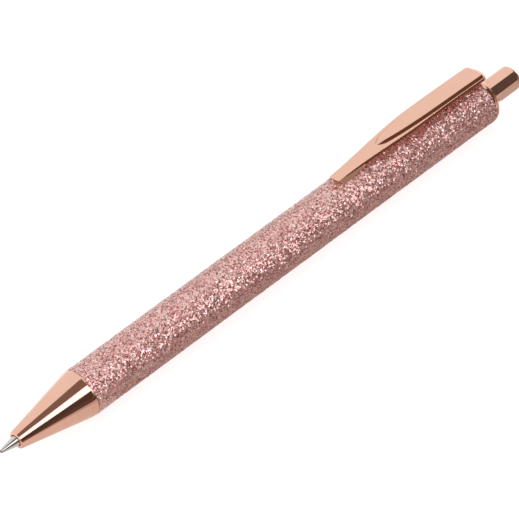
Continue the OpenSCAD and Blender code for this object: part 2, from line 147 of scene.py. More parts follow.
def blank_material(name: str) -> tuple[bpy.types.Material, bpy.types.NodeTree]:
    """Makes an empty node material.

    Args:
        name: The material's name.

    Returns:
        The material and its tree.
    """
    material = bpy.data.materials.new(name)
    material.use_nodes = True
    material.node_tree.nodes.clear()
    return material, material.node_tree


def per_mm(size: float) -> float:
    """Scale of a pattern on Object coordinates whose cells are size millimetres wide."""
    return 1 / (size * MM)


def spread(tree: bpy.types.NodeTree, code: str, factor: bpy.types.NodeSocket,
           dark: float) -> bpy.types.NodeSocket:
    """Lets a colour vary a little with a pattern.

    Args:
        tree: The material's tree.
        code: The colour as sRGB hex.
        factor: The pattern, from 0 to 1.
        dark: How much darker the pattern's low end is, as a share.

    Returns:
        The colour's socket.
    """
    full = linear(code)
    low = (full[0] * (1 - dark), full[1] * (1 - dark), full[2] * (1 - dark), 1.0)
    mix = add(tree, "ShaderNodeMix", {0: factor, 6: low, 7: full}, data_type="RGBA")
    return mix.outputs[2]


def arc(u: float, r: float, radius: float, start: float, end: float, steps: int) -> Profile:
    """Points of a rounded edge.

    Args:
        u: Place of the arc's centre along the pen, or across it in the clip's sections.
        r: Distance of the arc's centre from the axis.
        radius: The arc's radius.
        start: First angle in degrees; 0 points to the rear and 90 outwards.
        end: Last angle.
        steps: Pieces of the arc.

    Returns:
        Points as (u, r).
    """
    turn = [math.radians(start + (end - start) * i / steps) for i in range(steps + 1)]
    return [(u + radius * math.cos(a), r + radius * math.sin(a)) for a in turn]


def ring(u: float, radius: float, count: int, odd: int = 0) -> list[Point]:
    """Places points on a circle round the pen's axis.

    Args:
        u: The circle's place along the pen.
        radius: Its radius.
        count: Its number of points.
        odd: 1 turns the circle by half a step.

    Returns:
        The points, from the top on.
    """
    turn = [2 * math.pi * (i + 0.5 * odd) / count for i in range(count)]
    return [(FRONT_X + u, -radius * math.sin(a), AXIS_Z + radius * math.cos(a)) for a in turn]


def strip(one: range, two: range) -> list[list[int]]:
    """Joins two closed loops of points, one of which may be a single point.

    Args:
        one: Point numbers of the first loop.
        two: Point numbers of the second loop.

    Returns:
        The faces between them.
    """
    steps = max(len(one), len(two))
    faces = []
    for i in range(steps):
        j = (i + 1) % steps
        if len(one) == 1:
            faces.append([one[0], two[i], two[j]])
        elif len(two) == 1:
            faces.append([one[i], one[j], two[0]])
        else:
            faces.append([one[i], one[j], two[j], two[i]])
    return faces


def as_object(name: str, mesh: bpy.types.Mesh) -> bpy.types.Object:
    """Puts a mesh into the scene as an object at the origin.

    Args:
        name: The object's name.
        mesh: Its mesh.

    Returns:
        The object.
    """
    made = bpy.data.objects.new(name, mesh)
    bpy.context.scene.collection.objects.link(made)
    return made


def mesh_from(name: str, points: list[Point], faces: list[list[int]],
              sharp_deg: float | None) -> bpy.types.Object:
    """Makes an object from points in millimetres, with its faces turned outwards where it is closed.

    Args:
        name: The object's name.
        points: Points in the pen's frame.
        faces: Lists of point numbers.
        sharp_deg: Edges sharper than this stay sharp; None leaves every face flat.

    Returns:
        The object.
    """
    mesh = bpy.data.meshes.new(name)
    mesh.from_pydata((np.array(points) * MM).tolist(), [], faces)
    work = bmesh.new()
    work.from_mesh(mesh)
    bmesh.ops.recalc_face_normals(work, faces=work.faces)
    work.to_mesh(mesh)
    work.free()
    if sharp_deg is not None:
        mesh.shade_smooth()
        mesh.set_sharp_from_angle(angle=math.radians(sharp_deg))
    return as_object(name, mesh)


def turned(name: str, profile: Profile, steps: int) -> bpy.types.Object:
    """Turns a profile about the pen's axis.

    Args:
        name: The object's name.
        profile: Points as (u, r). One that starts and ends on the axis is solid; any other is closed on
            itself, as a ring.
        steps: Steps round the axis.

    Returns:
        The object.
    """
    points: list[Point] = []
    loops: list[range] = []
    for u, r in profile:
        circle = ring(u, r, 1 if r < ON_AXIS else steps)
        loops.append(range(len(points), len(points) + len(circle)))
        points += circle
    pairs = list(zip(loops, loops[1:]))
    if len(loops[0]) > 1:
        pairs.append((loops[-1], loops[0]))
    faces = [face for one, two in pairs for face in strip(one, two)]
    return mesh_from(name, points, faces, TURNED_SHARP_DEG)


def as_plain(made: bpy.types.Object) -> bpy.types.Object:
    """Turns an object with modifiers into a plain mesh and removes the modifiers.

    Args:
        made: The object.

    Returns:
        The same object.
    """
    graph = bpy.context.evaluated_depsgraph_get()
    mesh = bpy.data.meshes.new_from_object(made.evaluated_get(graph), depsgraph=graph)
    made.modifiers.clear()
    made.data = mesh
    mesh.name = made.name
    return made


def run_tree(made: bpy.types.Object, tree: bpy.types.NodeTree, sizes: dict[str, float]) -> bpy.types.Object:
    """Runs a Geometry Nodes tree on an object and keeps the result as a plain mesh.

    Args:
        made: The object.
        tree: The tree.
        sizes: Value for each named input of the tree.

    Returns:
        The object.
    """
    modifier = made.modifiers.new(tree.name, "NODES")
    modifier.node_group = tree
    for item in tree.interface.items_tree:
        if item.in_out == "INPUT" and item.name in sizes:
            modifier[item.identifier] = sizes[item.name]
    return as_plain(made)


def new_tree(name: str, sizes: dict[str, str]) -> tuple[bpy.types.NodeTree, bpy.types.Node]:
    """Starts a Geometry Nodes tree.

    Args:
        name: The tree's name.
        sizes: Socket type for each named input.

    Returns:
        The tree and its input node.
    """
    tree = bpy.data.node_groups.new(name, "GeometryNodeTree")
    tree.interface.new_socket("Geometry", in_out="INPUT", socket_type="NodeSocketGeometry")
    tree.interface.new_socket("Geometry", in_out="OUTPUT", socket_type="NodeSocketGeometry")
    for label, kind in sizes.items():
        tree.interface.new_socket(label, in_out="INPUT", socket_type=kind)
    return tree, add(tree, "NodeGroupInput")


def close_tree(tree: bpy.types.NodeTree, shape: bpy.types.NodeSocket, material: bpy.types.Material) -> None:
    """Ends a Geometry Nodes tree with Realize Instances and Set Material.

    Args:
        tree: The tree.
        shape: The socket with the finished shape.
        material: The shape's finish.
    """
    real = add(tree, "GeometryNodeRealizeInstances", {0: shape})
    worn = add(tree, "GeometryNodeSetMaterial", {"Geometry": real.outputs[0], "Material": material})
    add(tree, "NodeGroupOutput", {0: worn.outputs[0]})


def box(name: str, low: Point, high: Point) -> bpy.types.Object:
    """Builds a block.

    Args:
        name: The object's name.
        low: Its lowest corner in millimetres.
        high: Its highest corner.

    Returns:
        The object.
    """
    points = [(x, y, z) for x in (low[0], high[0]) for y in (low[1], high[1]) for z in (low[2], high[2])]
    faces = [[0, 1, 3, 2], [4, 6, 7, 5], [0, 4, 5, 1], [2, 3, 7, 6], [0, 2, 6, 4], [1, 5, 7, 3]]
    return mesh_from(name, points, faces, BLOCK_SHARP_DEG)


def coil_tree(name: str, material: bpy.types.Material) -> bpy.types.NodeTree:
    """Builds a Geometry Nodes tree that sweeps a round wire along a helix on the pen's axis.

    Args:
        name: The tree's name.
        material: The wire's finish.

    Returns:
        The tree, with inputs Radius, Wire, From, To, Turns, Closed Ends and Sides.
    """
    labels = ("Radius", "Wire", "From", "To", "Turns", "Closed Ends")
    tree, given = new_tree(name, dict.fromkeys(labels, "NodeSocketFloat") | {"Sides": "NodeSocketInt"})
    size = given.outputs
    line = add(tree, "GeometryNodeCurvePrimitiveLine")
    steps = add(tree, "ShaderNodeMath", {0: size["Turns"], 1: COIL_STEPS}, operation="MULTIPLY").outputs[0]
    path = add(tree, "GeometryNodeResampleCurve", {"Curve": line.outputs[0], "Count": steps})
    along = add(tree, "GeometryNodeSplineParameter").outputs["Factor"]
    # One turn at each end lies flat against the next, as on a ground spring.
    flat = add(tree, "ShaderNodeMath", {0: size["Closed Ends"], 1: size["Turns"]},
               operation="DIVIDE").outputs[0]
    rest = add(tree, "ShaderNodeMath", {0: 1.0, 1: flat}, operation="SUBTRACT").outputs[0]
    dead = add(tree, "ShaderNodeMath", {0: size["Wire"], 1: size["Closed Ends"]},
               operation="MULTIPLY").outputs[0]
    dead = add(tree, "ShaderNodeMath", {0: dead, 1: CLOSED_PITCH}, operation="MULTIPLY").outputs[0]
    span = add(tree, "ShaderNodeMath", {0: size["To"], 1: size["From"]}, operation="SUBTRACT").outputs[0]
    twice = add(tree, "ShaderNodeMath", {0: dead, 1: 2.0}, operation="MULTIPLY").outputs[0]
    span = add(tree, "ShaderNodeMath", {0: span, 1: twice}, operation="SUBTRACT").outputs[0]
    # The way along the axis grows over the first turn, the last one and the stretch between them.
    first, *others = [add(tree, "ShaderNodeMapRange", {
        "Value": along, "From Min": low, "From Max": high, "To Max": run}).outputs[0]
        for low, high, run in ((0.0, flat, dead), (rest, 1.0, dead), (flat, rest, span))]
    far = first
    for part in (*others, size["From"]):
        far = add(tree, "ShaderNodeMath", {0: far, 1: part}).outputs[0]
    turn = add(tree, "ShaderNodeMath", {0: along, 1: size["Turns"]}, operation="MULTIPLY").outputs[0]
    turn = add(tree, "ShaderNodeMath", {0: turn, 1: 2 * math.pi}, operation="MULTIPLY").outputs[0]
    sine = add(tree, "ShaderNodeMath", {0: turn}, operation="SINE").outputs[0]
    cosine = add(tree, "ShaderNodeMath", {0: turn}, operation="COSINE").outputs[0]
    across = add(tree, "ShaderNodeMath", {0: sine, 1: size["Radius"]}, operation="MULTIPLY").outputs[0]
    up = add(tree, "ShaderNodeMath", {0: cosine, 1: size["Radius"]}, operation="MULTIPLY").outputs[0]
    up = add(tree, "ShaderNodeMath", {0: up, 1: AXIS_Z * MM}).outputs[0]
    place = add(tree, "ShaderNodeCombineXYZ", {0: far, 1: across, 2: up}).outputs[0]
    bent = add(tree, "GeometryNodeSetPosition", {"Geometry": path.outputs[0], "Position": place})
    wire = add(tree, "GeometryNodeCurvePrimitiveCircle", {
        "Resolution": size["Sides"], "Radius": size["Wire"]})
    swept = add(tree, "GeometryNodeCurveToMesh", {
        "Curve": bent.outputs[0], "Profile Curve": wire.outputs[0], "Fill Caps": True})
    close_tree(tree, swept.outputs[0], material)
    return tree


def finish_piece(made: bpy.types.Object, material: bpy.types.Material, body: Body, slot: Slot,
                 *nodes: str) -> None:
    """Gives a piece its material and body, and hides the CAD nodes that it replaces.

    Args:
        made: The piece.
        material: Its finish.
        body: The body that it rides on.
        slot: The record's slot that its finish comes from; not used.
        *nodes: CAD nodes that it replaces.
    """
    made.data.materials.clear()
    made.data.materials.append(material)
    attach(made, body.value)
    if nodes:
        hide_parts(*nodes)
    log.info("%s: %d faces on %s", made.name, len(made.data.polygons), body.value)


def dress(node: str, material: bpy.types.Material) -> None:
    """Gives a CAD node that keeps its own shape its finish.

    Args:
        node: The node's name.
        material: Its finish.
    """
    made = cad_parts[node]
    made.data.materials.clear()
    made.data.materials.append(material)
    log.info("%s: CAD shape in %s", node, material.name)


# Finishes


@dataclass(frozen=True)
class PlatedMetal:
    """Polished metal with a thin plating.

    It gives a mirror in the plating's colour, with the faint waviness of polished brass and fine wipe
    marks.
    """

    name: str
    colour: str
    roughness: float = 0.07
    wave_mm: float = 2.5
    wave_depth_mm: float = 0.002
    wave_strength: float = 0.25
    wipe_mm: float = 0.18
    wipe_range: tuple[float, float] = (0.8, 1.25)
    tarnish: float = 0.05

    def build(self) -> bpy.types.Material:
        """Builds the finish.

        Returns:
            The material.
        """
        material, tree = blank_material(self.name)
        place = add(tree, "ShaderNodeTexCoord").outputs["Object"]
        wave = add(tree, "ShaderNodeTexNoise", {
            "Vector": place, "Scale": per_mm(self.wave_mm), "Detail": 1.0})
        wipe = add(tree, "ShaderNodeTexNoise", {
            "Vector": place, "Scale": per_mm(self.wipe_mm), "Detail": 3.0})
        rough = add(tree, "ShaderNodeMapRange", {
            "Value": wipe.outputs[0], "To Min": self.roughness * self.wipe_range[0],
            "To Max": self.roughness * self.wipe_range[1]})
        bump = add(tree, "ShaderNodeBump", {
            "Height": wave.outputs[0], "Strength": self.wave_strength, "Distance": self.wave_depth_mm * MM})
        shader = add(tree, "ShaderNodeBsdfPrincipled", {
            "Base Color": spread(tree, self.colour, wave.outputs[0], self.tarnish),
            "Metallic": 1.0, "Roughness": rough.outputs[0], "Normal": bump.outputs[0]})
        add(tree, "ShaderNodeOutputMaterial", {"Surface": shader.outputs[0]})
        return material


@dataclass(frozen=True)
class GlitterFoil:
    """Film of cut foil flakes.

    Each flake is a small flat mirror under tinted lacquer, with a tilt and a tone of its own, so that the
    eye sees sparkles beside dull flakes, with a few red ones among pink, champagne and copper.
    """

    name: str
    flake_mm: float
    tilt: float
    roughness: float
    metal: float
    tones: tuple[tuple[float, str], ...]

    def build(self) -> bpy.types.Material:
        """Builds the finish.

        Returns:
            The material.
        """
        material, tree = blank_material(self.name)
        place = add(tree, "ShaderNodeTexCoord").outputs["Object"]
        cells = add(tree, "ShaderNodeTexVoronoi", {
            "Vector": place, "Scale": per_mm(self.flake_mm), "Randomness": 1.0}, feature="F1")
        tone = add(tree, "ShaderNodeAttribute", attribute_name="tone")
        both = add(tree, "ShaderNodeSeparateColor", {0: cells.outputs["Color"]})
        pick = add(tree, "ShaderNodeMath", {0: both.outputs[0], 1: tone.outputs["Fac"]})
        part = add(tree, "ShaderNodeMath", {0: pick.outputs[0]}, operation="FRACT")
        ramp = add(tree, "ShaderNodeValToRGB", {0: part.outputs[0]})
        ramp.color_ramp.interpolation = "CONSTANT"
        for place_at, _ in self.tones[2:]:
            ramp.color_ramp.elements.new(place_at)
        for element, (place_at, code) in zip(ramp.color_ramp.elements, self.tones):
            element.position = place_at
            element.color = linear(code)
        lean = add(tree, "ShaderNodeVectorMath", {
            0: cells.outputs["Color"], 1: (0.5, 0.5, 0.5)}, operation="SUBTRACT")
        lean = add(tree, "ShaderNodeVectorMath", {
            0: lean.outputs[0], "Scale": self.tilt}, operation="SCALE")
        face = add(tree, "ShaderNodeNewGeometry")
        lean = add(tree, "ShaderNodeVectorMath", {0: face.outputs["Normal"], 1: lean.outputs[0]})
        lean = add(tree, "ShaderNodeVectorMath", {0: lean.outputs[0]}, operation="NORMALIZE")
        shader = add(tree, "ShaderNodeBsdfPrincipled", {
            "Base Color": ramp.outputs[0], "Metallic": self.metal, "Roughness": self.roughness,
            "Normal": lean.outputs[0]})
        add(tree, "ShaderNodeOutputMaterial", {"Surface": shader.outputs[0]})
        return material


@dataclass(frozen=True)
class MouldedPlastic:
    """Injection-moulded plastic.

    It gives a soft sheen over a fine, even mould grain, with faint cloudiness.
    """

    name: str
    colour: str
    roughness: float = 0.4
    grain_mm: float = 0.12
    grain_depth_mm: float = 0.006
    grain_strength: float = 0.3
    cloud_mm: float = 3.0
    cloudiness: float = 0.08
    clear: float = 0.0
    ior: float = 1.48

    def build(self) -> bpy.types.Material:
        """Builds the finish.

        Returns:
            The material.
        """
        material, tree = blank_material(self.name)
        place = add(tree, "ShaderNodeTexCoord").outputs["Object"]
        cloud = add(tree, "ShaderNodeTexNoise", {
            "Vector": place, "Scale": per_mm(self.cloud_mm), "Detail": 2.0})
        grain = add(tree, "ShaderNodeTexNoise", {
            "Vector": place, "Scale": per_mm(self.grain_mm), "Detail": 2.0})
        bump = add(tree, "ShaderNodeBump", {
            "Height": grain.outputs[0], "Strength": self.grain_strength,
            "Distance": self.grain_depth_mm * MM})
        shader = add(tree, "ShaderNodeBsdfPrincipled", {
            "Base Color": spread(tree, self.colour, cloud.outputs[0], self.cloudiness),
            "Roughness": self.roughness, "IOR": self.ior, "Transmission Weight": self.clear,
            "Normal": bump.outputs[0]})
        add(tree, "ShaderNodeOutputMaterial", {"Surface": shader.outputs[0]})
        return material


@dataclass(frozen=True)
class TurnedMetal:
    """Metal turned on a lathe or drawn to a wire.

    It gives a bright sheen that is broken by fine rings round the axis.
    """

    name: str
    colour: str
    roughness: float = 0.2
    ring_mm: float = 0.09
    depth_mm: float = 0.003
    ring_strength: float = 0.4
    ring_shade: float = 0.12

    def build(self) -> bpy.types.Material:
        """Builds the finish.

        Returns:
            The material.
        """
        material, tree = blank_material(self.name)
        place = add(tree, "ShaderNodeTexCoord").outputs["Object"]
        rings = add(tree, "ShaderNodeTexWave", {
            "Vector": place, "Scale": per_mm(self.ring_mm) / (2 * math.pi), "Distortion": 1.5,
            "Detail": 2.0}, wave_type="BANDS", bands_direction="X")
        bump = add(tree, "ShaderNodeBump", {
            "Height": rings.outputs["Fac"], "Strength": self.ring_strength, "Distance": self.depth_mm * MM})
        shader = add(tree, "ShaderNodeBsdfPrincipled", {
            "Base Color": spread(tree, self.colour, rings.outputs["Fac"], self.ring_shade), "Metallic": 1.0,
            "Roughness": self.roughness, "Normal": bump.outputs[0]})
        add(tree, "ShaderNodeOutputMaterial", {"Surface": shader.outputs[0]})
        return material


# Sub-assemblies


@dataclass
class Nose:
    """The plated cone in front, with its threaded spigot. Sizes in millimetres."""

    rim_u: float = 4.0
    rim_r: float = 1.9
    rim_round: float = 0.35
    hole_r: float = 1.3
    hole_edge: float = 0.15
    taper_end_u: float = 20.35
    base_r: float = 5.15
    rear_u: float = 21.0
    blend: float = 6.0
    edge: float = 0.06
    spigot_r: float = 3.9
    spigot_end_u: float = 29.0
    spigot_lead: float = 0.4
    spigot_bevel: float = 0.3
    bore_r: float = 3.3
    bore_u: float = 21.2
    chamber_r: float = 2.35
    chamber_u: float = 9.5
    throat_r: float = 1.6
    throat_u: float = 6.0
    thread_depth: float = 0.25
    thread_pitch: float = 0.75
    thread_from: float = 0.5
    thread_to: float = 0.6
    thread_sides: int = 4
    steps: int = 200

    def profile(self) -> Profile:
        """Draws the cone's section.

        Returns:
            Points from the hole's edge outwards and back through the bore.
        """
        slope = (self.base_r - self.rim_r) / (self.taper_end_u - self.rim_u)
        lean = math.degrees(math.atan(slope))
        stretch = math.sqrt(1 + slope * slope)
        round_u = self.rim_u + self.rim_round
        round_r = self.rim_r + slope * self.rim_round - self.rim_round * stretch
        root_r = self.spigot_r - self.thread_depth
        back = self.blend * math.tan(math.radians(lean / 2))
        outer = arc(self.rim_u + self.hole_edge, self.hole_r + self.hole_edge, self.hole_edge, 270, 180, 6)
        outer += arc(round_u, round_r, self.rim_round, 180, 90 + lean, 10)
        outer += arc(self.taper_end_u + back, self.base_r - self.blend, self.blend, 90 + lean, 90, 16)
        outer += arc(self.rear_u - self.edge, self.base_r - self.edge, self.edge, 90, 0, 4)
        spigot = [(self.rear_u, root_r), (self.spigot_end_u - self.spigot_lead, root_r),
                  (self.spigot_end_u, root_r - self.spigot_bevel), (self.spigot_end_u, self.bore_r)]
        inside = [(self.bore_u, self.bore_r), (self.bore_u, self.chamber_r),
                  (self.chamber_u, self.chamber_r), (self.chamber_u, self.throat_r),
                  (self.throat_u, self.throat_r), (self.throat_u, self.hole_r)]
        return outer + spigot + inside

    def thread(self, material: bpy.types.Material) -> bpy.types.Object:
        """Builds the spigot's thread with Geometry Nodes, as one ridge along a helix.

        Args:
            material: The thread's finish.

        Returns:
            The thread.
        """
        start, end = self.rear_u + self.thread_from, self.spigot_end_u - self.thread_to
        tree = coil_tree("spigot_thread", material)
        made = as_object("nose_thread", bpy.data.meshes.new("nose_thread"))
        return run_tree(made, tree, {
            "Radius": (self.spigot_r - self.thread_depth) * MM, "Wire": self.thread_depth * MM,
            "From": (FRONT_X + start) * MM, "To": (FRONT_X + end) * MM,
            "Turns": (end - start) / self.thread_pitch, "Closed Ends": 0.0, "Sides": self.thread_sides})

    def build(self, plate: bpy.types.Material) -> None:
        """Builds the cone and its thread.

        Args:
            plate: The nose's plating.
        """
        shell = turned("nose_shell", self.profile(), self.steps)
        finish_piece(shell, plate, Body.NOSE, Slot.PLATE, "nose_cone")
        finish_piece(self.thread(plate), plate, Body.NOSE, Slot.PLATE)


@dataclass
class Barrel:
    """The glitter wrap on the barrel's tube. Sizes in millimetres."""

    front_u: float = 21.0
    rear_u: float = 130.1
    outer_r: float = 5.2
    inner_r: float = 4.95
    flake: float = 0.42
    relief: float = 0.07
    shift_share: float = 0.28
    seed: int = 7

    def lattice(self) -> bpy.types.Object:
        """Builds the wrap as a pipe whose outer wall is a lattice of near equal triangles.

        Returns:
            The wrap, with a point attribute that is 1 where the flakes may stand up.
        """
        around = round(2 * math.pi * self.outer_r / self.flake)
        rows = round((self.rear_u - self.front_u) / (self.flake * math.sqrt(3) / 2))
        points: list[Point] = []
        for row in range(rows + 1):
            u = self.front_u + (self.rear_u - self.front_u) * row / rows
            points += ring(u, self.outer_r, around, row % 2)
        faces = []
        for row in range(rows):
            low, high = row * around, (row + 1) * around
            for i in range(around):
                j = (i + 1) % around
                if row % 2:
                    faces += [[low + i, low + j, high + j], [low + i, high + j, high + i]]
                else:
                    faces += [[low + i, low + j, high + i], [low + j, high + j, high + i]]
        for u, row in ((self.front_u, 0), (self.rear_u, rows)):
            outer, inner = row * around, len(points)
            points += ring(u, self.inner_r, around, row % 2)
            faces += strip(range(outer, outer + around), range(inner, inner + around))
        front, rear = len(points) - 2 * around, len(points) - around
        for i in range(around):
            near = (i - rows % 2) % around
            far = (near + 1) % around
            faces.append([front + i, front + (i + 1) % around, rear + far])
            faces.append([front + i, rear + far, rear + near])
        # The two end rows and the inner wall stay where they are.
        free = [0.0] * around + [1.0] * ((rows - 1) * around) + [0.0] * (3 * around)
        made = mesh_from("glitter_skin", points, faces, None)
        made.data.attributes.new("free", "FLOAT", "POINT").data.foreach_set("value", free)
        return made

    def relief_tree(self, material: bpy.types.Material) -> bpy.types.NodeTree:
        """Builds the Geometry Nodes tree that tilts the flakes and gives each a tone.

        Args:
            material: The wrap's finish.

        Returns:
            The tree, with inputs Relief, Shift and Seed.
        """
        tree, given = new_tree("glitter_relief", {
            "Relief": "NodeSocketFloat", "Shift": "NodeSocketFloat", "Seed": "NodeSocketInt"})
        normal = add(tree, "GeometryNodeInputNormal").outputs[0]
        free = add(tree, "GeometryNodeInputNamedAttribute", {"Name": "free"}, data_type="FLOAT").outputs[0]
        down = add(tree, "FunctionNodeRandomValue", {2: -1.0, 3: 0.0, "Seed": given.outputs["Seed"]},
                   data_type="FLOAT").outputs[1]
        down = add(tree, "ShaderNodeMath", {0: down, 1: given.outputs["Relief"]},
                   operation="MULTIPLY").outputs[0]
        down = add(tree, "ShaderNodeVectorMath", {0: normal, "Scale": down}, operation="SCALE").outputs[0]
        side = add(tree, "FunctionNodeRandomValue", {
            0: (-1.0, -1.0, -1.0), 1: (1.0, 1.0, 1.0), "Seed": given.outputs["Seed"]},
            data_type="FLOAT_VECTOR").outputs[0]
        side = add(tree, "ShaderNodeVectorMath", {0: side, 1: normal}, operation="CROSS_PRODUCT").outputs[0]
        side = add(tree, "ShaderNodeVectorMath", {0: side, "Scale": given.outputs["Shift"]},
                   operation="SCALE").outputs[0]
        move = add(tree, "ShaderNodeVectorMath", {0: down, 1: side}).outputs[0]
        move = add(tree, "ShaderNodeVectorMath", {0: move, "Scale": free}, operation="SCALE").outputs[0]
        moved = add(tree, "GeometryNodeSetPosition", {"Geometry": given.outputs[0], "Offset": move})
        tone = add(tree, "FunctionNodeRandomValue", {2: 0.0, 3: 1.0, "Seed": given.outputs["Seed"]},
                   data_type="FLOAT").outputs[1]
        toned = add(tree, "GeometryNodeStoreNamedAttribute", {
            "Geometry": moved.outputs[0], "Name": "tone", "Value": tone}, data_type="FLOAT", domain="FACE")
        close_tree(tree, toned.outputs[0], material)
        return tree

    def build(self, glitter: bpy.types.Material) -> None:
        """Builds the wrap.

        Args:
            glitter: The wrap's finish.
        """
        made = run_tree(self.lattice(), self.relief_tree(glitter), {
            "Relief": self.relief * MM, "Shift": self.flake * self.shift_share * MM, "Seed": self.seed})
        finish_piece(made, glitter, Body.BARREL, Slot.GLITTER, "glitter_wrap")


@dataclass
class EndCap:
    """The plated ring that closes the barrel's rear end. Sizes in millimetres."""

    front_u: float = 130.1
    rear_u: float = 131.95
    outer_r: float = 5.15
    round: float = 1.8
    hole_r: float = 2.83
    hole_edge: float = 0.15
    seat_r: float = 4.43
    seat_u: float = 124.8
    slot_u: tuple[float, float] = (129.1, 131.09)
    slot_w: float = 2.64
    slot_r: float = 4.28
    slot_over: float = 1.0
    steps: int = 192

    def profile(self) -> Profile:
        """Draws the ring's section.

        Returns:
            Points from the bore's rear edge outwards and back.
        """
        rear = arc(self.rear_u - self.hole_edge, self.hole_r + self.hole_edge, self.hole_edge, -90, 0, 5)
        outer = arc(self.rear_u - self.round, self.outer_r - self.round, self.round, 0, 90, 24)
        front = [(self.front_u, self.outer_r), (self.front_u, self.seat_r), (self.seat_u, self.seat_r),
                 (self.seat_u, self.hole_r)]
        return rear + outer + front

    def build(self, plate: bpy.types.Material) -> None:
        """Builds the ring, with the slot that takes the clip's tab.

        Args:
            plate: The ring's plating.
        """
        made = turned("end_ring", self.profile(), self.steps)
        low = (FRONT_X + self.slot_u[0], -self.slot_w / 2, AXIS_Z + self.slot_r)
        high = (FRONT_X + self.slot_u[1], self.slot_w / 2, AXIS_Z + self.outer_r + self.slot_over)
        tool = box("slot_tool", low, high)
        cut = made.modifiers.new("slot", "BOOLEAN")
        cut.operation, cut.object, cut.solver = "DIFFERENCE", tool, "EXACT"
        as_plain(made)
        bpy.data.objects.remove(tool)
        finish_piece(made, plate, Body.BARREL, Slot.PLATE, "end_cap")


